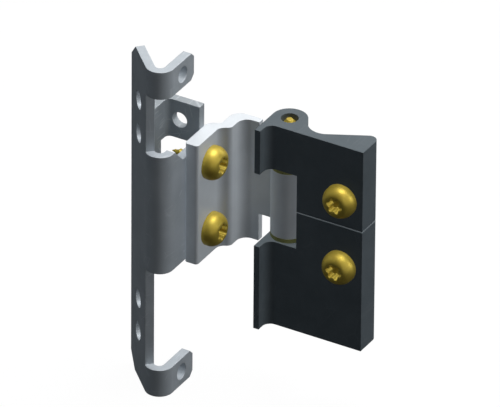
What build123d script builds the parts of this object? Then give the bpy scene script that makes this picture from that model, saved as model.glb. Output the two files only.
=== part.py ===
"""Enclosure hinge: a bent steel frame bracket, a cranked hinge arm and a two-part door leaf on one pin.

Millimetres, +Z up. X runs along the door leaf, away from the pin, and +Y points out of the cabinet,
through the door. The model stands as the hinge does with the door closed, and the leaf opens from X
towards +Y. Each piece is drawn from the pin axis, at the height where the upper and lower leaf meet,
and all are then moved so that the origin lies midway between the two ear holes, on the ears' outer face.
"""

from build123d import *
from math import cos, radians, sin, tan
import os

# Pin and knuckle
pin_d = 5.8
pin_gap = 0.05                # running clearance round the pin, radial
press_gap = 0.01              # pressed and formed fits, radial
barrel_r = 6.0                # knuckle and both leaf bosses
knuckle_h = 24.3
flange_t = 1.5                # thrust flange of each bush
axial_play = 0.05             # between a thrust flange and the leaf
bush_wall = 1.0
bush_l = 9.0
pin_recess = 0.3              # pin ends below the leaf ends
nose_r = 1.0
nose_l = 2.4
door_opens = 130.0            # degrees

# Door leaf
leaf_up = 30.0                # height above the seam
leaf_down = 45.0              # height below the seam
leaf_front = 6.6              # pin axis to the flat front face
leaf_reach = 30.9             # pin axis to the free end
lip_t = 2.0
lip_depth = 5.4               # the lip stands this far in front of the front face
lip_root_r = 3.0
back_angle = 27.0             # the back face rises from the neck to the free end
back_offset = 9.12            # pin axis to the plane of the back face
neck_r = 6.2
leaf_corner_r = 2.5
notch_side_gap = 0.6          # knuckle to the leaf beside it
swing_gap = 0.3               # tongue to the leaf with the door open
seam_chamfer = 0.25

# Hinge arm
arm_h = 44.7
pad_back = -27.5              # X of the face that lies on the bracket
pad_t = 4.8
pad_front_end = -19.6         # Y of the pad's free end
pad_corner_r = 1.05
web_back = -23.5              # X of the web behind the S-bend
web_t = 4.15
crank_front_y = (-5.75, -3.9)  # Y where the front face leaves the pad and joins the web
crank_back_y = (-4.6, -3.35)
crank_front_r = (3.0, 2.1)
crank_back_r = (3.4, 1.5)
tongue_t = 2.4
elbow_outer_r = 4.2
elbow_inner_r = 3.7
arm_end = -13.3               # X where the full height ends and only the tongue goes on

# Screws
screw_d = 5.5
screw_l = 14.0
screw_tip_l = 6.2
screw_tip_flat = 0.25
head_d = 11.5
head_h = 4.85
head_side = 1.3               # straight part of the head's side
crown_slope = 0.2             # fall of the crown where it meets the flat round the recess
crown_rim = 0.35              # flat between the recess and the crown
recess_d = 5.7
recess_depth = 3.0
lobe_r = 0.62
lobe_turn = -7.0              # degrees, the first lobe from the screw's own X
plate_hole_gap = 0.25         # radial, in the arm and the leaf
seat_gap = 0.3                # spot face of the arm round the head, radial
arm_screw_y = -11.5
arm_screw_pitch = 25.0
leaf_screw_x = 23.1
leaf_screw_up = 10.0
leaf_screw_down = 15.0

# Frame bracket, bent from one sheet
sheet_t = 3.0
bend_r = 1.8                  # inside
bend_y = -27.0                # Y of the bend axis
strip_angle = 135.0           # degrees that the sheet turns from strip to ears
strip_flat = 18.2
strip_chamfer = 5.0
hole_pitch = 12.5
strip_hole_steps = (-3.5, -2.5, 2.5, 3.5)  # in hole pitches from the bracket's middle
strip_hole_d = 6.4
ear_step = 4.5                # in hole pitches
ear_h = 10.0
ear_flat = 13.1
ear_chamfer = 1.75
ear_hole_d = 5.6
ear_hole_from_bend = 6.0
flange_end = -7.2             # Y of the middle flange's free end
flange_short = 0.4            # the middle flange ends this far inside the arm's height, at each end
flange_step_y = -20.7         # Y where the slope in its upper edge reaches the tab's lower edge

# Fixing lug, welded behind the bracket
lug_reach = 11.95             # web face to the tab's free end
tab_h = 14.0
tab_hole_d = 5.5
tab_step = 2.5                # in hole pitches
tab_hole_from_web = 4.55
lug_relief = 4.0              # below the tab the web stops this far short of the tab's face

# Worked out from the sizes above
pin_r = pin_d / 2
bush_bore_r = pin_r + pin_gap
bush_r = bush_bore_r + bush_wall
notch_half = knuckle_h / 2 + flange_t + axial_play
notch_x = barrel_r + notch_side_gap
arm_face_x = pad_back + pad_t
flange_face_x = pad_back
bend_out_r = bend_r + sheet_t
bend_x = flange_face_x - bend_out_r
bracket_mid_z = (leaf_up - leaf_down) / 2
bracket_half = ear_step * hole_pitch + ear_h / 2
flange_half = arm_h / 2 - flange_short
tab_hole_z = bracket_mid_z + tab_step * hole_pitch
tab_low_z = tab_hole_z - tab_h / 2
lug_web_x = flange_face_x - lug_reach
tab_face_y = flange_end - sheet_t


def block(x, y, z):
    """A box from three (low, high) pairs."""
    low = Vector(x[0], y[0], z[0])
    size = (x[1] - x[0], y[1] - y[0], z[1] - z[0])
    return Pos(low) * Box(*size, align=(Align.MIN, Align.MIN, Align.MIN))


def prism(face, low, high):
    """A face of the XY plane extruded from one height to another."""
    return extrude(Pos(0, 0, low) * face, high - low)


def rod(radius, low, high, x=0.0, y=0.0):
    """A round bar along Z."""
    return prism(Pos(x, y) * Circle(radius), low, high)


def rounded(face, corners):
    """Round the corners of a face that lie nearest to the given (x, y, radius)."""
    for x, y, radius in corners:
        corner = face.vertices().sort_by_distance((x, y, 0))[0]
        face = fillet(corner, radius)
    return face


def polygon(points):
    return make_face(Polyline(*points, close=True))


def leaf_section():
    """Plan of the door leaf: boss, front lip, flat front face and the back face on its slope."""
    turn = radians(back_angle)
    along, across = Vector(cos(turn), sin(turn)), Vector(-sin(turn), cos(turn))
    touch = along * barrel_r
    neck = touch - across * back_offset
    end_back = (leaf_reach * sin(turn) - back_offset) / cos(turn)
    lip_y = -leaf_front - lip_depth
    lip_in = lip_t - barrel_r
    outline = polygon([
        (-barrel_r, 0),
        (-barrel_r, lip_y),
        (lip_in, lip_y),
        (lip_in, -leaf_front),
        (leaf_reach, -leaf_front),
        (leaf_reach, end_back),
        (neck.X, neck.Y),
        (touch.X, touch.Y),
    ])
    outline = rounded(outline, [
        (lip_in, -leaf_front, lip_root_r),
        (leaf_reach, end_back, leaf_corner_r),
        (neck.X, neck.Y, neck_r),
    ])
    return outline + Circle(barrel_r)


def knuckle_notch():
    """Room for the knuckle and the bushes, and behind them for the tongue with the door open."""
    far = 3 * barrel_r
    room = Pos(-far) * Rectangle(far + notch_x, 2 * far, align=(Align.MIN, Align.CENTER))
    reach = barrel_r + swing_gap
    swung = Rectangle(reach, far, align=(Align.MIN, Align.MIN))
    return room + Rot(0, 0, 90 - door_opens) * swung


def leaf(low, high, screw_z):
    """One leaf casting, from the section, with its half of the notch, its bore and its hole."""
    body = prism(leaf_section(), low, high)
    seam = [edge for edge in body.edges() if abs(edge.center().Z) < 0.01]
    body = chamfer(seam, seam_chamfer)
    body -= prism(knuckle_notch(), max(low, -notch_half), min(high, notch_half))
    body -= rod(pin_r + press_gap, low, high)
    hole = rod(screw_d / 2 + plate_hole_gap, -leaf_reach, leaf_reach)
    return body - Pos(leaf_screw_x, 0, screw_z) * Rot(90, 0, 0) * hole


def arm_section():
    """Plan of the cranked arm: screw pad, S-bend, web and the elbow towards the knuckle."""
    web_front = web_back + web_t
    tongue_front = barrel_r - tongue_t
    outline = polygon([
        (pad_back, pad_front_end),
        (arm_face_x, pad_front_end),
        (arm_face_x, crank_front_y[0]),
        (web_front, crank_front_y[1]),
        (web_front, tongue_front),
        (arm_end, tongue_front),
        (arm_end, barrel_r),
        (web_back, barrel_r),
        (web_back, crank_back_y[1]),
        (pad_back, crank_back_y[0]),
    ])
    return rounded(outline, [
        (pad_back, pad_front_end, pad_corner_r),
        (arm_face_x, pad_front_end, pad_corner_r),
        (arm_face_x, crank_front_y[0], crank_front_r[0]),
        (web_front, crank_front_y[1], crank_front_r[1]),
        (web_front, tongue_front, elbow_inner_r),
        (web_back, barrel_r, elbow_outer_r),
        (web_back, crank_back_y[1], crank_back_r[1]),
        (pad_back, crank_back_y[0], crank_back_r[0]),
    ])


def hinge_arm():
    """The arm, its narrow tongue and the knuckle, cast and machined in one piece."""
    body = prism(arm_section(), -arm_h / 2, arm_h / 2)
    tongue = Pos(arm_end, barrel_r) * Rectangle(-arm_end, tongue_t, align=(Align.MIN, Align.MAX))
    body += prism(tongue + Circle(barrel_r), -knuckle_h / 2, knuckle_h / 2)
    body -= rod(bush_r + press_gap, -knuckle_h / 2, knuckle_h / 2)
    for z in arm_screw_heights():
        hole = rod(screw_d / 2 + plate_hole_gap, pad_back, arm_face_x)
        seat = rod(head_d / 2 + seat_gap, arm_face_x, arm_face_x + head_h)
        body -= Pos(0, arm_screw_y, z) * Rot(0, 90, 0) * (hole + seat)
    return body


def arm_screw_heights():
    return (arm_screw_pitch / 2, -arm_screw_pitch / 2)


def flanged_bush(side):
    """Plain bearing bush, pressed in from one end of the knuckle, its flange taking the thrust."""
    face = knuckle_h / 2
    body = rod(bush_r, face - bush_l, face) + rod(barrel_r, face, face + flange_t)
    body -= rod(bush_bore_r, face - bush_l, face + flange_t)
    return body if side > 0 else Rot(180, 0, 0) * body


def hinge_pin():
    """Turned pin with a coned nose at both ends, pressed into the leaves."""
    top = leaf_up - pin_recess
    low = -leaf_down + pin_recess
    half = make_face(Polyline(
        (0, low),
        (nose_r, low),
        (pin_r, low + nose_l),
        (pin_r, top - nose_l),
        (nose_r, top),
        (0, top),
        close=True,
    ))
    return revolve(Rot(90, 0, 0) * half, Axis.Z)


def screw():
    """Round-headed tapping screw along -Z, its head's seat at Z = 0, with a six-lobe recess."""
    head_r = head_d / 2
    crown_r = recess_d / 2 + crown_rim
    side = Polyline(
        (0, -screw_l),
        (screw_tip_flat, -screw_l),
        (screw_d / 2, screw_tip_l - screw_l),
        (screw_d / 2, 0),
        (head_r, 0),
        (head_r, head_side),
    )
    crown = Spline((head_r, head_side), (crown_r, head_h), tangents=[(0, 1), (-1, crown_slope)])
    top = Polyline((crown_r, head_h), (0, head_h), (0, -screw_l))
    turned = revolve(Rot(90, 0, 0) * make_face(side + crown + top), Axis.Z)
    lobe_x = recess_d / 2 - lobe_r
    recess = Circle(lobe_x)
    for turn in range(6):
        recess += Rot(0, 0, lobe_turn + 60 * turn) * Pos(lobe_x) * Circle(lobe_r)
    return turned - prism(recess, head_h - recess_depth, head_h)


def sheet_run(length):
    """Plan of the sheet past the bend: the bend itself and a flat run along +Y."""
    bend = Circle(bend_out_r) - Circle(bend_r)
    side = 3 * bend_out_r
    keep = Rectangle(side, side, align=(Align.MIN, Align.MAX))
    bend = (bend & keep) + (bend & Rot(0, 0, 90 - strip_angle) * keep)
    flat = Pos(bend_r, 0) * Rectangle(sheet_t, length, align=(Align.MIN, Align.MIN))
    return Pos(bend_x, bend_y) * (bend + flat)


def strip_frame():
    """Frame on the strip's outer face, at its middle: X along the strip, Z out of the sheet."""
    turn = radians(strip_angle)
    away = Vector(sin(turn), cos(turn)) * -1
    out = Vector(cos(turn), -sin(turn))
    start = Vector(bend_x, bend_y) + out * bend_out_r
    middle = start + away * (strip_flat / 2)
    return Plane((middle.X, middle.Y, bracket_mid_z), x_dir=(away.X, away.Y, 0), z_dir=(out.X, out.Y, 0))


def frame_bracket():
    """Strip with four holes on the 45 degree face, two ears and the flange that carries the arm."""
    frame = strip_frame()
    strip = Rectangle(strip_flat, 2 * bracket_half)
    outer = [v for v in strip.vertices() if v.X > 0]
    strip = chamfer(outer, strip_chamfer)
    for step in strip_hole_steps:
        strip -= Pos(0, step * hole_pitch) * Circle(strip_hole_d / 2)
    body = extrude(frame * strip, -sheet_t)

    for side in (-1, 1):
        middle = bracket_mid_z + side * ear_step * hole_pitch
        ear = prism(sheet_run(ear_flat), middle - ear_h / 2, middle + ear_h / 2)
        tip = [edge for edge in ear.edges().filter_by(Axis.X) if edge.center().Y > bend_y + ear_flat - 0.1]
        ear = chamfer(tip, ear_chamfer)
        hole = rod(ear_hole_d / 2, bend_x, flange_face_x + sheet_t)
        body += ear - Pos(0, bend_y + ear_hole_from_bend, middle) * Rot(0, 90, 0) * hole

    flange = prism(sheet_run(flange_end - bend_y), -flange_half, flange_half)
    step = polygon([
        (flange_step_y - (flange_half - tab_low_z), flange_half),
        (flange_step_y, tab_low_z),
        (flange_end, tab_low_z),
        (flange_end, flange_half),
    ])
    flange -= extrude(Plane.YZ * step, 2 * bend_x, both=True)
    for z in arm_screw_heights():
        hole = rod(screw_d / 2 + press_gap, bend_x, flange_face_x + sheet_t)
        flange -= Pos(0, arm_screw_y, z) * Rot(0, 90, 0) * hole
    return body + flange


def fixing_lug():
    """Bent angle behind the bracket: its web is welded to the strip, its tab stands on the flange."""
    turn = radians(strip_angle)
    foot = Vector(bend_x, bend_y) + Vector(cos(turn), -sin(turn)) * bend_r
    web_low = -flange_half
    tab_top = tab_low_z + tab_h
    back_x = lug_web_x - sheet_t
    back_y = tab_face_y + sheet_t
    angle = polygon([
        (back_x, foot.Y + (back_x - foot.X) / tan(turn)),
        (lug_web_x, foot.Y + (lug_web_x - foot.X) / tan(turn)),
        (lug_web_x, tab_face_y),
        (flange_face_x, tab_face_y),
        (flange_face_x, back_y),
        (back_x, back_y),
    ])
    angle = rounded(angle, [(lug_web_x, tab_face_y, bend_r), (back_x, back_y, bend_out_r)])
    body = prism(angle, web_low, tab_top)
    below = block((back_x, flange_face_x), (tab_face_y - lug_relief, back_y), (web_low, tab_low_z))
    body -= below
    hole = rod(tab_hole_d / 2, -back_y, -tab_face_y)
    return body - Pos(lug_web_x + tab_hole_from_web, 0, tab_hole_z) * Rot(90, 0, 0) * hole


def write(name, solid):
    """Save one piece, moved from the pin axis to the frame between the ear holes."""
    to_origin = Pos(-flange_face_x, -(bend_y + ear_hole_from_bend), -bracket_mid_z)
    export_step(Part() + to_origin * solid, f"parts/{name}.step")


def main():
    os.makedirs("parts", exist_ok=True)
    write("frame_bracket", frame_bracket())
    write("fixing_lug", fixing_lug())
    write("hinge_arm", hinge_arm())
    write("upper_bush", flanged_bush(1))
    write("lower_bush", flanged_bush(-1))
    write("hinge_pin", hinge_pin())
    write("upper_leaf", leaf(0, leaf_up, leaf_screw_up))
    write("lower_leaf", leaf(-leaf_down, 0, -leaf_screw_down))
    for name, z in zip(("upper", "lower"), arm_screw_heights()):
        write(f"arm_screw_{name}", Pos(arm_face_x, arm_screw_y, z) * Rot(0, 90, 0) * screw())
    for name, z in (("upper", leaf_screw_up), ("lower", -leaf_screw_down)):
        write(f"leaf_screw_{name}", Pos(leaf_screw_x, -leaf_front, z) * Rot(90, 0, 0) * screw())


main()
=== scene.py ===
import bpy
from math import atan2, cos, pi, radians, sin, tau
from mathutils import Matrix, Vector
from mathutils.geometry import interpolate_bezier


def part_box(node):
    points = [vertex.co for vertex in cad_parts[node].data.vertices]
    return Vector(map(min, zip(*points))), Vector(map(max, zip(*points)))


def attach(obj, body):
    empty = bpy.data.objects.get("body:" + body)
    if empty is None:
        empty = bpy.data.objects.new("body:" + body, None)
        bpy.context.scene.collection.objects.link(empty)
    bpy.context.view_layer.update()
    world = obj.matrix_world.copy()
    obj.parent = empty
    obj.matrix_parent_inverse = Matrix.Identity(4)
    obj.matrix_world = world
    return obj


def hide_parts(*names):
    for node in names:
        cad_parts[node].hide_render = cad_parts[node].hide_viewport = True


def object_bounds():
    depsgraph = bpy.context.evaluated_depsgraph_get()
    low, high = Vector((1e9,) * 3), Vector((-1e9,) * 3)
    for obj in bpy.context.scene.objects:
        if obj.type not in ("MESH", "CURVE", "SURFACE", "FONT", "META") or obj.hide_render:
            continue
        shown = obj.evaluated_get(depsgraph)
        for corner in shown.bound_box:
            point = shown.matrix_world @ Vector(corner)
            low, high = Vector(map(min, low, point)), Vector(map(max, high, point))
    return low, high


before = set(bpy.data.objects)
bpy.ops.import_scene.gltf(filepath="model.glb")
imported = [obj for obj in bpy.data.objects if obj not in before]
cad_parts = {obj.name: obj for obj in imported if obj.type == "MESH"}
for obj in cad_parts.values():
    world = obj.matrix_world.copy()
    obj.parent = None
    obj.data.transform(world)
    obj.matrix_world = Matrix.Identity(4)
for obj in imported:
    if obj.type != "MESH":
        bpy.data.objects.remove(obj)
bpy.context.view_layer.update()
bpy.ops.object.select_all(action="DESELECT")


# Frame bracket
# One stamping of 3 mm cold rolled sheet, folded to 45 degrees and zinc plated in a barrel, so its faces
# carry fine rolling lines along the strip, a cloudy plating film and brighter metal on the rubbed edges.
def put(tree, kind, values=(), **settings):
    """Add a shader node. Values go to its inputs, and a value that is a socket is linked."""
    made = tree.nodes.new(kind if kind.startswith("NodeGroup") else "ShaderNode" + kind)
    for name, setting in settings.items():
        setattr(made, name, setting)
    for key, value in dict(values).items():
        if isinstance(value, bpy.types.NodeSocket):
            tree.links.new(value, made.inputs[key])
        else:
            made.inputs[key].default_value = value
    return made


def reckon(tree, operation, *values, clamp=False):
    """A Math node's result."""
    return put(tree, "Math", enumerate(values), operation=operation, use_clamp=clamp).outputs[0]


def spread(tree, value, low, high, at_low=0.0, at_high=1.0):
    """A value spread from the range low to high over another range, 0 to 1 if none is given."""
    ends = {"Value": value, "From Min": low, "From Max": high, "To Min": at_low, "To Max": at_high}
    return put(tree, "MapRange", ends).outputs[0]


def noise(tree, place, scale, **more):
    """A Noise texture's value."""
    return put(tree, "TexNoise", {"Vector": place, "Scale": scale, **more}).outputs["Fac"]


def blend_colour(tree, share, first, second):
    """A colour between two others. The Mix node takes its share in input 0 and colours in 6 and 7."""
    return put(tree, "Mix", {0: share, 6: first, 7: second}, data_type="RGBA").outputs[2]


def new_group(name, inputs, outputs):
    """An empty node group with typed inputs, each with its usual value, and typed outputs."""
    group = bpy.data.node_groups.new(name, "ShaderNodeTree")
    for label, kind, usual in inputs:
        socket = group.interface.new_socket(label, in_out="INPUT", socket_type="NodeSocket" + kind)
        if usual is not None:
            socket.default_value = usual
    for label, kind in outputs:
        group.interface.new_socket(label, in_out="OUTPUT", socket_type="NodeSocket" + kind)
    return group, put(group, "NodeGroupInput").outputs, put(group, "NodeGroupOutput").inputs


def make_worn_edges():
    """Node group: 1 on rubbed edges, broken up by a fine pattern, and the rounded edge's normal."""
    group, given, result = new_group(
        "worn edges",
        [("Vector", "Vector", None), ("Width", "Float", 0.0003), ("Amount", "Float", 1.0)],
        [("Wear", "Float"), ("Normal", "Vector")],
    )
    edge_gain, break_scale, break_low, break_high = 6.0, 900.0, 0.35, 0.62
    rounded = put(group, "Bevel", {"Radius": given["Width"]}, samples=6).outputs["Normal"]
    flat = put(group, "NewGeometry").outputs["Normal"]
    alike = put(group, "VectorMath", {0: rounded, 1: flat}, operation="DOT_PRODUCT").outputs["Value"]
    turned = reckon(group, "MULTIPLY", reckon(group, "SUBTRACT", 1.0, alike), edge_gain, clamp=True)
    broken = spread(group, noise(group, given["Vector"], break_scale, Detail=3.0), break_low, break_high)
    wear_and_seam_highlight = reckon(group, "MULTIPLY", turned, broken)
    group.links.new(reckon(group, "MULTIPLY", wear_and_seam_highlight, given["Amount"], clamp=True), result["Wear"])
    group.links.new(rounded, result["Normal"])
    return group


def make_drawn_lines():
    """Node group: fine lines that run along one axis, as rolling, drawing or brushing leaves them."""
    group, given, result = new_group(
        "drawn lines",
        [
            ("Vector", "Vector", None),
            ("Squeeze", "Vector", (1.0, 1.0, 0.02)),
            ("Fineness", "Float", 2500.0),
        ],
        [("Lines", "Float")],
    )
    fine_share, wide_share, wide_fineness = 0.6, 0.4, 0.22
    squeezed = put(group, "VectorMath", {0: given["Vector"], 1: given["Squeeze"]}, operation="MULTIPLY")
    fine = noise(group, squeezed.outputs[0], given["Fineness"], Detail=2.0)
    wide_scale = reckon(group, "MULTIPLY", given["Fineness"], wide_fineness)
    wide = noise(group, squeezed.outputs[0], wide_scale, Detail=1.0)
    fine, wide = reckon(group, "MULTIPLY", fine, fine_share), reckon(group, "MULTIPLY", wide, wide_share)
    group.links.new(reckon(group, "ADD", fine, wide), result["Lines"])
    return group


def make_clouds():
    """Node group: soft blotches a few millimetres across, of plating, handling and oil."""
    group, given, result = new_group(
        "clouds", [("Vector", "Vector", None), ("Size", "Float", 0.006)], [("Cloud", "Float")]
    )
    clear, full = 0.28, 0.72
    scale = reckon(group, "DIVIDE", 1.0, given["Size"])
    blotches = noise(group, given["Vector"], scale, Detail=4.0, Roughness=0.62, Distortion=0.4)
    group.links.new(spread(group, blotches, clear, full), result["Cloud"])
    return group


def make_scratches():
    """Node group: a few hairline scratches, which are the rims of long cells laid three ways."""
    group, given, result = new_group(
        "scratches", [("Vector", "Vector", None), ("Spacing", "Float", 0.006)], [("Scratch", "Float")]
    )
    line_width, gap_scale, gap_end, line_start = 0.012, 1.7, 0.52, 0.6
    scale = reckon(group, "DIVIDE", 1.0, given["Spacing"])
    total = 0.0
    for turn, stretch in ((0.5, 0.16), (1.7, 0.12), (2.6, 0.2)):
        turns, stretches = (turn, 1.3 * turn, turn), (1.0, stretch, 1.0)
        laid = {"Vector": given["Vector"], "Rotation": turns, "Scale": stretches}
        cells = {"Vector": put(group, "Mapping", laid).outputs[0], "Scale": scale, "Randomness": 1.0}
        rim = put(group, "TexVoronoi", cells, feature="DISTANCE_TO_EDGE").outputs["Distance"]
        total = reckon(group, "MAXIMUM", total, spread(group, rim, 0.0, line_width, 1.0, 0.0))
    gaps = noise(group, given["Vector"], reckon(group, "MULTIPLY", scale, gap_scale), Detail=1.0)
    kept = spread(group, gaps, gap_end, line_start)
    group.links.new(reckon(group, "MULTIPLY", total, kept), result["Scratch"])
    return group


worn_edges, drawn_lines = make_worn_edges(), make_drawn_lines()
clouds, scratches = make_clouds(), make_scratches()


def effect(tree, group, **values):
    """One of the shared node groups, reading object coordinates."""
    made = put(tree, "Group", node_tree=group)
    tree.links.new(put(tree, "TexCoord").outputs["Object"], made.inputs["Vector"])
    for name, value in values.items():
        made.inputs[name].default_value = value
    return made.outputs


def new_finish(name, **plain):
    """A material, its node tree and its Principled shader, with plain values on the shader's sockets."""
    material = bpy.data.materials.new(name)
    material.use_nodes = True
    shader = material.node_tree.nodes["Principled BSDF"]
    for label, value in plain.items():
        shader.inputs[label.replace("_", " ")].default_value = value
    return material, material.node_tree, shader


def wear_in(tree, shader, colour, bare, roughness, height, step, edges):
    """Link a finish: its colour with bare metal on worn edges, its roughness and its relief in metres."""
    tree.links.new(blend_colour(tree, edges["Wear"], colour, bare), shader.inputs["Base Color"])
    tree.links.new(roughness, shader.inputs["Roughness"])
    surface = {"Height": height, "Distance": step, "Strength": 1.0, "Normal": edges["Normal"]}
    tree.links.new(put(tree, "Bump", surface).outputs[0], shader.inputs["Normal"])


def satin_roughness(tree, cloud, lines, least):
    """The roughness of drawn metal: rougher in its clouds and along its lines."""
    in_clouds, on_lines = reckon(tree, "MULTIPLY", cloud, 0.1), reckon(tree, "MULTIPLY", lines, 0.14)
    return reckon(tree, "ADD", reckon(tree, "ADD", in_clouds, on_lines), least)


def make_zinc_plate(name, dark, pale):
    """Zinc plated sheet: satin, clouded between two greys, with rolling lines and hairline scratches."""
    material, tree, shader = new_finish(name, Metallic=0.4)
    lines = effect(tree, drawn_lines, Squeeze=(1.0, 1.0, 0.03), Fineness=2600.0)["Lines"]
    cloud = effect(tree, clouds, Size=0.009)["Cloud"]
    scratch = effect(tree, scratches, Spacing=0.009)["Scratch"]
    edges = effect(tree, worn_edges, Width=0.00035, Amount=0.8)
    line_grey, scratch_grey = (0.3, 0.33, 0.36, 1), (0.56, 0.59, 0.62, 1)
    bare_zinc, line_depth = (0.58, 0.61, 0.64, 1), 0.000012
    colour = blend_colour(tree, cloud, dark, pale)
    colour = blend_colour(tree, reckon(tree, "MULTIPLY", lines, 0.35), colour, line_grey)
    colour = blend_colour(tree, reckon(tree, "MULTIPLY", scratch, 0.45), colour, scratch_grey)
    height = reckon(tree, "SUBTRACT", lines, reckon(tree, "MULTIPLY", scratch, 0.8))
    roughness = satin_roughness(tree, cloud, lines, 0.42)
    wear_in(tree, shader, colour, bare_zinc, roughness, height, line_depth, edges)
    return material


def dress(node, material):
    """Give a CAD node its finish."""
    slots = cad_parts[node].data.materials
    slots.clear()
    slots.append(material)


zinc_plate = make_zinc_plate("zinc_plated_sheet", (0.35, 0.382, 0.412, 1), (0.42, 0.452, 0.482, 1))
dress("frame_bracket", zinc_plate)


# Fixing lug
# A bent angle of the same sheet, with the bracket's plating painted a shade darker as painted shade. Its
# web stands on the back of the strip, and three short fillet welds in the sharp corner between them hold
# it there.
dress("fixing_lug", make_zinc_plate("zinc_plated_lug_painted_shade", (0.22, 0.242, 0.256, 1), (0.265, 0.287, 0.301, 1)))

# The beads run up beside the corner, a little out along its bisector, at three shares of the free height.
weld_corner, weld_out = Vector((-0.01495, 0.001604)), Vector((-0.3827, 0.9239)) * 0.0021
weld_places, weld_sides, weld_bluntness = (0.06, 0.5, 0.94), 20, 9
weld_length, weld_radius, weld_tip_radius = 0.012, 0.0012, 0.0003
ripple_length, rings_a_ripple, ripple_depth = 0.001, 4, 0.14


def make_weld(bottom):
    """One bead of the fillet weld: a rippled rope with round ends, sunk into both sheets."""
    foot = (*(weld_corner + weld_out), bottom)
    bpy.ops.mesh.primitive_circle_add(
        vertices=weld_sides, radius=weld_tip_radius, fill_type="NGON", location=foot
    )
    bead = bpy.context.object
    bpy.ops.object.transform_apply(location=True)
    bpy.ops.object.mode_set(mode="EDIT")
    bpy.ops.mesh.select_all(action="SELECT")
    rings = round(weld_length / ripple_length) * rings_a_ripple
    rise = {"value": (0, 0, weld_length / rings)}
    radius = weld_tip_radius
    for ring in range(1, rings + 1):
        from_middle = abs(2.0 * ring / rings - 1.0)
        rounded = max(weld_tip_radius / weld_radius, (1.0 - from_middle ** weld_bluntness) ** 0.5)
        ripple = 1.0 - ripple_depth / 2 + ripple_depth * abs(sin(pi * ring / rings_a_ripple))
        wanted = weld_radius * rounded * ripple
        growth = wanted / radius
        bpy.ops.mesh.extrude_region_move(TRANSFORM_OT_translate=rise)
        bpy.ops.transform.resize(value=(growth, growth, 1), center_override=foot)
        radius = wanted
    bpy.ops.mesh.select_all(action="SELECT")
    bpy.ops.mesh.normals_make_consistent(inside=False)
    bpy.ops.object.mode_set(mode="OBJECT")
    bpy.ops.object.shade_smooth_by_angle(angle=radians(50))
    return bead


lug_low, lug_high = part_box("fixing_lug")
for number, share in enumerate(weld_places, 1):
    weld = make_weld(lug_low.z + (lug_high.z - lug_low.z - weld_length) * share)
    weld.name = f"lug_weld_{number}"
    weld.data.materials.append(zinc_plate)
    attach(weld, "frame_side")


# Hinge arm
# One light alloy casting with its faces machined along their height and the bore of the knuckle reamed.
# It is tumbled afterwards, so the faces are satin, with faint lines, and the edges are soft and bright.
def make_light_alloy():
    """Machined and tumbled light alloy: satin, with faint lines along Z and hairline scratches."""
    material, tree, shader = new_finish("light_alloy", Metallic=0.3)
    lines = effect(tree, drawn_lines, Squeeze=(1.0, 1.0, 0.01), Fineness=1700.0)["Lines"]
    cloud = effect(tree, clouds, Size=0.007)["Cloud"]
    scratch = effect(tree, scratches, Spacing=0.012)["Scratch"]
    edges = effect(tree, worn_edges, Width=0.0003, Amount=0.7)
    line_grey, bare_alloy, line_depth = (0.5, 0.525, 0.55, 1), (0.72, 0.74, 0.76, 1), 0.00001
    colour = blend_colour(tree, cloud, (0.54, 0.568, 0.596, 1), (0.605, 0.633, 0.656, 1))
    colour = blend_colour(tree, reckon(tree, "MULTIPLY", lines, 0.3), colour, line_grey)
    height = reckon(tree, "SUBTRACT", lines, reckon(tree, "MULTIPLY", scratch, 0.6))
    roughness = satin_roughness(tree, cloud, lines, 0.46)
    wear_in(tree, shader, colour, bare_alloy, roughness, height, line_depth, edges)
    return material


dress("hinge_arm", make_light_alloy())


# Bushes
# Two flanged bushes of sintered bronze, pressed into the knuckle. The metal is dull, full of fine pores
# and dark with the oil that it holds.
def make_sintered_bronze():
    """Sintered bronze: olive, dull and porous."""
    material, tree, shader = new_finish("sintered_bronze", Metallic=0.85)
    cloud = effect(tree, clouds, Size=0.0025)["Cloud"]
    edges = effect(tree, worn_edges, Width=0.0002, Amount=0.6)
    pore_scale, pore_low, pore_high, pore_depth = 5200.0, 0.12, 0.42, 0.00002
    pore_brown, bare_bronze = (0.08, 0.075, 0.03, 1), (0.6, 0.53, 0.25, 1)
    grain = {"Vector": put(tree, "TexCoord").outputs["Object"], "Scale": pore_scale}
    pit = spread(tree, put(tree, "TexVoronoi", grain).outputs["Distance"], pore_low, pore_high)
    colour = blend_colour(tree, cloud, (0.26, 0.265, 0.1, 1), (0.35, 0.355, 0.14, 1))
    colour = blend_colour(tree, pit, pore_brown, colour)
    roughness = reckon(tree, "ADD", reckon(tree, "MULTIPLY", cloud, -0.15), 0.6)
    wear_in(tree, shader, colour, bare_bronze, roughness, pit, pore_depth, edges)
    return material


sintered_bronze = make_sintered_bronze()
for name in ("upper_bush", "lower_bush"):
    dress(name, sintered_bronze)


# Screws
# Four round-headed tapping screws with a six-lobe drive, cold headed and thread rolled in steel, then
# yellow passivated. The film is thin and glossy, golden with a green cast.
def make_yellow_zinc(name, squeeze, relief):
    """Yellow passivated zinc: golden, with a green tint in clouds, over the marks that the making left."""
    material, tree, shader = new_finish(name, Metallic=0.5, Specular_IOR_Level=0.15)
    cloud = effect(tree, clouds, Size=0.004)["Cloud"]
    tint = effect(tree, clouds, Size=0.0022)["Cloud"]
    edges = effect(tree, worn_edges, Width=0.0002, Amount=0.35)
    marks = effect(tree, drawn_lines, Squeeze=squeeze, Fineness=2800.0)["Lines"]
    green, bare_zinc = (0.42, 0.4, 0.07, 1), (0.78, 0.7, 0.4, 1)
    colour = blend_colour(tree, cloud, (0.385, 0.27, 0.034, 1), (0.47, 0.345, 0.056, 1))
    colour = blend_colour(tree, reckon(tree, "MULTIPLY", tint, 0.25), colour, green)
    roughness = reckon(tree, "ADD", reckon(tree, "MULTIPLY", cloud, 0.08), 0.4)
    wear_in(tree, shader, colour, bare_zinc, roughness, marks, relief, edges)
    return material


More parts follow.
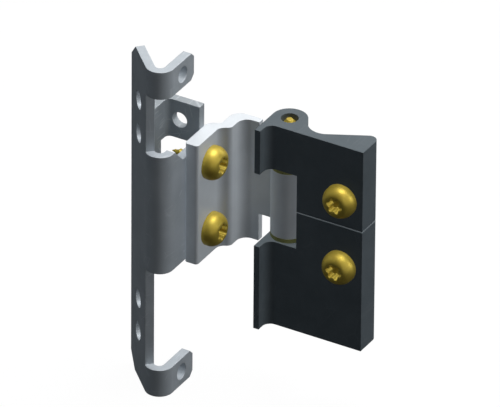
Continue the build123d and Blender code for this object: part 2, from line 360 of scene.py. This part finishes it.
even_grain, grain_relief = (1.0, 1.0, 1.0), 0.000003
yellow_zinc = make_yellow_zinc("yellow_zinc", even_grain, grain_relief)
head_radius, head_height, head_side, seat_bevel = 0.00575, 0.00485, 0.0013, 0.00015
head_facets, crown_rings, crown_slope = 96, 16, Vector((1.0, -0.2)).normalized()
recess_rim, recess_depth, recess_floor, recess_cone = 0.0032, 0.003, 0.0012, 0.0003
lobe_middle, lobe_swell, lobe_turn = 0.00242, 0.00042, radians(-7)
thread_pitch, thread_crest, thread_core, thread_top = 0.0018, 0.00273, 0.0021, 0.0006
thread_turns, thread_steps, thinnest_draw = 11, 48, 0.02
screw_length, tip_length, tip_radius = 0.014, 0.0062, 0.00025


def keep_only(test):
    """In edit mode: select the faces whose centre and normal pass a test, and nothing else."""
    bpy.ops.mesh.select_mode(type="FACE")
    bpy.ops.mesh.select_all(action="DESELECT")
    bpy.ops.object.mode_set(mode="OBJECT")
    for face in bpy.context.object.data.polygons:
        face.select = test(face.center, face.normal)
    bpy.ops.object.mode_set(mode="EDIT")


def draw_ring(radius_at, height):
    """In edit mode: extrude the selected end face, and set its rim at a radius round Z and a height."""
    bpy.ops.mesh.extrude_region_move()
    bpy.ops.object.mode_set(mode="OBJECT")
    for vertex in bpy.context.object.data.vertices:
        if vertex.select:
            angle = atan2(vertex.co.y, vertex.co.x)
            radius = radius_at(angle)
            vertex.co = (radius * cos(angle), radius * sin(angle), height)
    bpy.ops.object.mode_set(mode="EDIT")


def round_ring(radius, height):
    """A round ring."""
    draw_ring(lambda angle: radius, height)


def lobed_ring(growth, height):
    """A ring of the six-lobe recess, grown by a length from its true outline."""
    draw_ring(lambda angle: lobe_middle + growth + lobe_swell * cos(6 * (angle - lobe_turn)), height)


def make_head():
    """The round head, seat down on Z = 0, with its six-lobe recess and the cone that the punch leaves."""
    bpy.ops.mesh.primitive_cylinder_add(
        vertices=head_facets, radius=head_radius, depth=head_side, location=(0, 0, head_side / 2)
    )
    head = bpy.context.object
    bpy.ops.object.transform_apply(location=True)
    bpy.ops.object.mode_set(mode="EDIT")
    keep_only(lambda centre, normal: normal.z > 0.9)
    foot, crown = Vector((head_radius, head_side)), Vector((recess_rim, head_height))
    pull = (crown - foot).length / 3
    rising, sloping = foot + Vector((0, pull)), crown + crown_slope * pull
    for radius, height in interpolate_bezier(foot, rising, sloping, crown, crown_rings)[1:]:
        round_ring(radius, height)
    # Each ring of the recess has its growth and its depth. Its rim and the foot of its wall are rounded.
    rim = ((0.00012, 0.0), (0.00003, 0.00005), (0.0, 0.00015))
    wall_foot = ((-0.00006, recess_depth - 0.0001), (-0.00016, recess_depth))
    for growth, depth in rim + wall_foot:
        lobed_ring(growth, head_height - depth)
    round_ring(recess_floor, head_height - recess_depth - recess_cone)
    bpy.ops.mesh.merge(type="CENTER")
    keep_only(lambda centre, normal: normal.z < -0.9 and centre.z < 0.0001)
    bpy.ops.mesh.bevel(offset=seat_bevel, segments=2)
    bpy.ops.object.mode_set(mode="OBJECT")
    return head


def make_thread():
    """The thread: one pitch of its outline, wound up a helix, drawn in to the tip and cut off level."""
    # The outline is the core, a flank, the crest, the other flank and the core again. Each step has its
    # way outward and its share of the pitch.
    depth = thread_crest - thread_core
    outline = ((0, 0.3), (depth, 0.27), (0, 0.06), (-depth, 0.27), (0, 0.1))
    bpy.ops.mesh.primitive_plane_add(size=thread_pitch)
    thread = bpy.context.object
    bpy.ops.object.mode_set(mode="EDIT")
    bpy.ops.mesh.select_mode(type="VERT")
    bpy.ops.mesh.merge(type="CENTER")
    bpy.ops.transform.translate(value=(thread_core, 0, -screw_length - 1.5 * thread_pitch))
    for outward, share in outline:
        step = {"value": (outward, 0, share * thread_pitch)}
        bpy.ops.mesh.extrude_vertices_move(TRANSFORM_OT_translate=step)
    bpy.ops.object.mode_set(mode="OBJECT")
    wind = thread.modifiers.new("wind", "SCREW")
    wind.steps = wind.render_steps = thread_steps
    wind.iterations = thread_turns
    wind.screw_offset = thread_pitch
    wind.use_merge_vertices = True
    wind.merge_threshold = 0.000001
    bpy.ops.object.modifier_apply(modifier="wind")
    for vertex in thread.data.vertices:
        to_tip = max(0.0, tip_length - screw_length - vertex.co.z) / tip_length
        drawn = max(1.0 - to_tip * (1.0 - tip_radius / thread_crest), thinnest_draw)
        vertex.co.x *= drawn
        vertex.co.y *= drawn
    bpy.ops.object.mode_set(mode="EDIT")
    bpy.ops.mesh.select_all(action="SELECT")
    bpy.ops.mesh.remove_doubles(threshold=0.000002)
    for height, upward in ((thread_top, 1), (-screw_length, -1)):
        level, facing = (0, 0, height), (0, 0, upward)
        bpy.ops.mesh.select_all(action="SELECT")
        bpy.ops.mesh.bisect(
            plane_co=level, plane_no=facing, use_fill=True, clear_outer=True, threshold=0.0000001
        )
    bpy.ops.mesh.select_all(action="SELECT")
    bpy.ops.mesh.normals_make_consistent(inside=False)
    bpy.ops.object.mode_set(mode="OBJECT")
    return thread


def make_screw():
    """One whole screw along -Z."""
    head, thread = make_head(), make_thread()
    bpy.ops.object.select_all(action="DESELECT")
    bpy.context.view_layer.objects.active = head
    head.select_set(True)
    join = head.modifiers.new("join", "BOOLEAN")
    join.operation = "UNION"
    join.solver = "EXACT"
    join.object = thread
    bpy.ops.object.modifier_apply(modifier="join")
    bpy.data.objects.remove(thread)
    bpy.ops.object.shade_smooth_by_angle(angle=radians(38))
    head.data.materials.append(yellow_zinc)
    return head


screw = make_screw()
for node, body in (
    ("arm_screw_upper", "frame_side"),
    ("arm_screw_lower", "frame_side"),
    ("leaf_screw_upper", "door_side"),
    ("leaf_screw_lower", "door_side"),
):
    low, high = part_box(node)
    middle = (low + high) / 2
    if body == "frame_side":
        seat, turn = Vector((high.x - head_height, middle.y, middle.z)), Matrix.Rotation(pi / 2, 4, "Y")
    else:
        seat, turn = Vector((middle.x, low.y + head_height, middle.z)), Matrix.Rotation(pi / 2, 4, "X")
    copy = screw.copy()
    copy.data = screw.data.copy()
    copy.name = node + "_threaded"
    copy.visible_diffuse = False  # no yellow light on the faces beside it, as in the photograph
    bpy.context.collection.objects.link(copy)
    copy.data.transform(Matrix.Translation(seat) @ turn)
    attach(copy, body)
    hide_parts(node)
bpy.data.objects.remove(screw)


# Hinge pin
# Turned from bar with a coned nose at each end, which keeps fine rings of the tool, and yellow passivated
# like the screws.
turned_rings, ring_relief = (0.02, 0.02, 1.0), 0.000008
dress("hinge_pin", make_yellow_zinc("yellow_zinc_turned", turned_rings, ring_relief))


# Door leaf
# Two die castings, one above the other, powder coated black. The coat has a fine orange peel and is thin
# on the sharp edges, and a pale line is painted along the seam as a painted highlight on its chamfer.
seam_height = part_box("upper_leaf")[0].z
seam_core, seam_edge, seam_highlight_share = 0.00007, 0.00016, 0.17


def make_black_coat():
    """Black powder coat: satin, with orange peel, dusty clouds and a painted highlight line along the
    seam.
    """
    material, tree, shader = new_finish("black_coat", Metallic=0.0, Specular_IOR_Level=0.1)
    coordinates = put(tree, "TexCoord").outputs["Object"]
    peel_scale, peel_depth = 1500.0, 0.00003
    peel = noise(tree, coordinates, peel_scale, Detail=1.5)
    cloud = effect(tree, clouds, Size=0.011)["Cloud"]
    scratch = effect(tree, scratches, Spacing=0.016)["Scratch"]
    edges = effect(tree, worn_edges, Width=0.0003, Amount=0.55)
    scratch_grey, seam_highlight_grey = (0.13, 0.14, 0.15, 1), (0.5, 0.53, 0.56, 1)
    thin_coat = (0.16, 0.175, 0.185, 1)
    colour = blend_colour(tree, cloud, (0.075, 0.09, 0.1, 1), (0.091, 0.107, 0.118, 1))
    colour = blend_colour(tree, reckon(tree, "MULTIPLY", scratch, 0.3), colour, scratch_grey)
    # A pale line painted along the seam is a painted highlight on the chamfer where the two castings meet.
    height = put(tree, "SeparateXYZ", {0: coordinates}).outputs["Z"]
    off_seam = reckon(tree, "ABSOLUTE", reckon(tree, "SUBTRACT", height, seam_height))
    wear_and_seam_highlight = spread(tree, off_seam, seam_core, seam_edge, seam_highlight_share, 0.0)
    colour = blend_colour(tree, wear_and_seam_highlight, colour, seam_highlight_grey)
    roughness = reckon(tree, "ADD", reckon(tree, "MULTIPLY", cloud, 0.14), 0.42)
    wear_in(tree, shader, colour, thin_coat, roughness, peel, peel_depth, edges)
    return material


black_coat = make_black_coat()
for name in ("upper_leaf", "lower_leaf"):
    dress(name, black_coat)


# Studio
# A pale floor under the strip's lower end and a white background. Two soft lamps cast shadows, three fills
# open up the hollows without any, and a camera with a long lens looks from the photograph's side.
floor_size, floor_gap = 6.0, 0.0002
low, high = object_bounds()
middle = (low + high) / 2
bpy.ops.mesh.primitive_plane_add(size=floor_size, location=(middle.x, middle.y, low.z - floor_gap))
floor = bpy.context.object
floor.name = "floor"
paper, tree, shader = new_finish("white_paper", Base_Color=(0.92, 0.92, 0.92, 1), Roughness=0.9)


def seen_directly(tree):
    """1 for camera, glossy and transmission rays, which see the background."""
    path = put(tree, "LightPath").outputs
    either = reckon(tree, "MAXIMUM", path["Is Camera Ray"], path["Is Glossy Ray"])
    return reckon(tree, "MAXIMUM", either, path["Is Transmission Ray"])


# Seen directly, the paper is nine tenths white glow, and the last tenth is lit and keeps a soft shadow.
glow_share = 0.9
paper_glow = put(tree, "Emission", {"Color": (1, 1, 1, 1), "Strength": 1.0}).outputs[0]
glowing = reckon(tree, "MULTIPLY", seen_directly(tree), glow_share)
paper_mix = put(tree, "MixShader", {0: glowing, 1: shader.outputs[0], 2: paper_glow})
tree.links.new(paper_mix.outputs[0], tree.nodes["Material Output"].inputs["Surface"])
floor.data.materials.append(paper)

# A dark mat lies on the floor round the hinge, and a dark screen stands to its left and front. They take
# the floor's light off the upright faces, as black cards do in a studio, and neither the camera nor the
# lamps see them.
mat_size, mat_gap = 2.4, 0.0001
screen_radius, screen_start, screen_turn, screen_climb = 0.8, radians(155), radians(140), radians(66)
felt, _, _ = new_finish(
    "dark_felt", Base_Color=(0.055, 0.055, 0.056, 1), Roughness=1.0, Specular_IOR_Level=0.0
)
bpy.ops.mesh.primitive_plane_add(size=mat_size, location=(middle.x, middle.y, low.z - mat_gap))
mat = bpy.context.object
mat.name = "dark_mat"
bpy.ops.mesh.primitive_uv_sphere_add(
    segments=72, ring_count=36, radius=screen_radius, location=(middle.x, middle.y, low.z)
)
screen = bpy.context.object
screen.name = "dark_screen"
bpy.ops.object.mode_set(mode="EDIT")


def off_screen(centre, normal):
    """True for what the screen leaves out of a sphere: back, right, crown and lower half."""
    turned = (atan2(centre.y, centre.x) - screen_start) % tau
    climb = centre.z / centre.length
    return turned > screen_turn or not 0.0 < climb < sin(screen_climb)


keep_only(off_screen)
bpy.ops.mesh.delete(type="FACE")
bpy.ops.object.mode_set(mode="OBJECT")
for card in (mat, screen):
    card.data.materials.append(felt)
    card.visible_camera = False
    card.visible_shadow = False

dim_sky, dim_strength = (0.84, 0.93, 1.0, 1), 0.14
world = bpy.data.worlds.new("studio")
bpy.context.scene.world = world
world.use_nodes = True
tree = world.node_tree
dim = tree.nodes["Background"]
dim.inputs["Color"].default_value = dim_sky
dim.inputs["Strength"].default_value = dim_strength
white = put(tree, "Background", {"Color": (1, 1, 1, 1), "Strength": 1.0})
sky = put(tree, "MixShader", {0: seen_directly(tree), 1: dim.outputs[0], 2: white.outputs[0]})
tree.links.new(sky.outputs[0], tree.nodes["World Output"].inputs["Surface"])

lamp_distance = 1.6
warm, cool, cooler, blue = (1.0, 0.99, 0.98), (0.97, 0.98, 1.0), (0.93, 0.97, 1.0), (0.78, 0.9, 1.0)


def lamp(name, toward, size, power, colour, shadow):
    """A square soft lamp in a direction from the hinge, aimed at it."""
    place = middle + Vector(toward).normalized() * lamp_distance
    bpy.ops.object.light_add(type="AREA", location=place)
    made = bpy.context.object
    made.name = name
    made.rotation_euler = (middle - place).to_track_quat("-Z", "Y").to_euler()
    made.data.size = size
    made.data.energy = power
    made.data.color = colour
    made.data.use_shadow = shadow


lamp("top_lamp", (0.15, 0.2, 1.0), 0.8, 9.5, warm, shadow=True)
lamp("top_fill", (0.1, 0.1, 1.0), 0.8, 22.0, warm, shadow=False)
lamp("right_fill", (0.92, 0.38, 0.36), 0.6, 7.5, cooler, shadow=False)
lamp("front_fill", (-0.78, -0.5, 0.7), 1.0, 4.1, blue, shadow=False)
lamp("back_lamp", (0.3, 1.0, 0.35), 0.9, 5.0, cool, shadow=True)

# One point places the camera: the pin's axis at the leaf's top has a known pixel in the photograph.
azimuth, elevation, roll = radians(29.9), radians(31.7), radians(0.45)
camera_distance, view_width, sensor_width = 4.0, 0.1603, 36.0
image_width, image_height = 500, 407
pin_across, pin_down = 289.7, 118.0
pin_low, pin_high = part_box("hinge_pin")
pin_middle = (pin_low + pin_high) / 2
pin_top = Vector((pin_middle.x, pin_middle.y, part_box("upper_leaf")[1].z))
upright = Matrix.Rotation(azimuth, 3, "Z") @ Matrix.Rotation(pi / 2 - elevation, 3, "X")
turn = upright @ Matrix.Rotation(roll, 3, "Z")
right, up, back = (turn @ Vector(axis) for axis in ((1, 0, 0), (0, 1, 0), (0, 0, 1)))
pixel = view_width / image_width
aside, below = pin_across - image_width / 2, pin_down - image_height / 2
target = pin_top - right * aside * pixel + up * below * pixel
bpy.ops.object.camera_add(location=target + back * camera_distance, rotation=turn.to_euler())
camera = bpy.context.object
camera.data.sensor_width = sensor_width
camera.data.lens = camera_distance * sensor_width / view_width
camera.data.clip_end = 20.0
bpy.context.scene.camera = camera
bpy.context.scene.view_settings.view_transform = "Standard"
